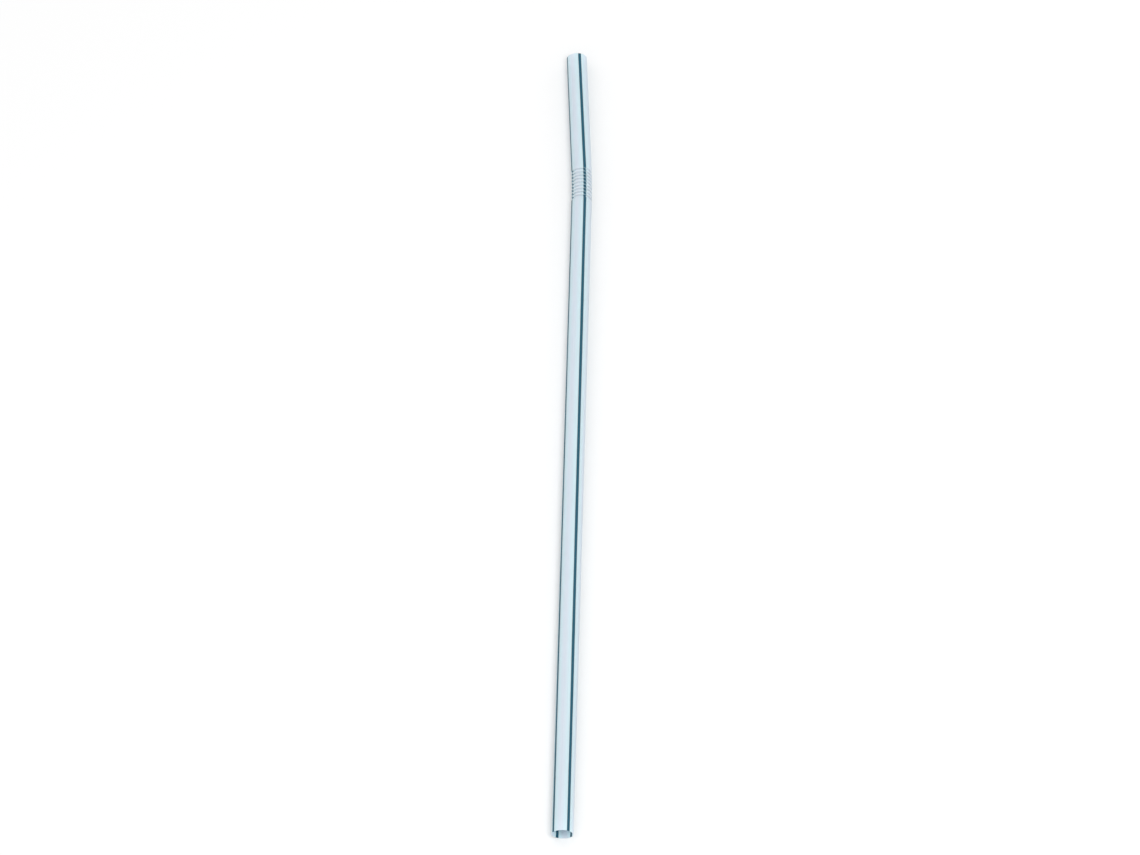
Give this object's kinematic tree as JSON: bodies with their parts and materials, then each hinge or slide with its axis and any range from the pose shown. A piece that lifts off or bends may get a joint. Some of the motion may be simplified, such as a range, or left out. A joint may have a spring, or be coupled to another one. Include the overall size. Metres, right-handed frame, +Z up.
{
  "type": "plastic drinking straw",
  "caption": "Thin-walled flexible drinking straw: a long plain leg, a pleated flex pushed closed and a short mouthpiece, with coloured stripes along it.",
  "frame": {"origin": "on the surface that the straw lies on, in the middle of its length and of its width as seen from above", "axes": "+Y along the leg, from the open foot towards the mouthpiece; +Z up from the surface; the mouthpiece leans towards -X"},
  "size_m": [0.0072, 0.2076, 0.005],
  "materials": {
    "polypropylene": "milky, slightly see-through extruded film with a soft gloss and narrow blue stripes in the wall"
  },
  "bodies": {
    "root": {"straw": "polypropylene"}
  },
  "joints": []
}
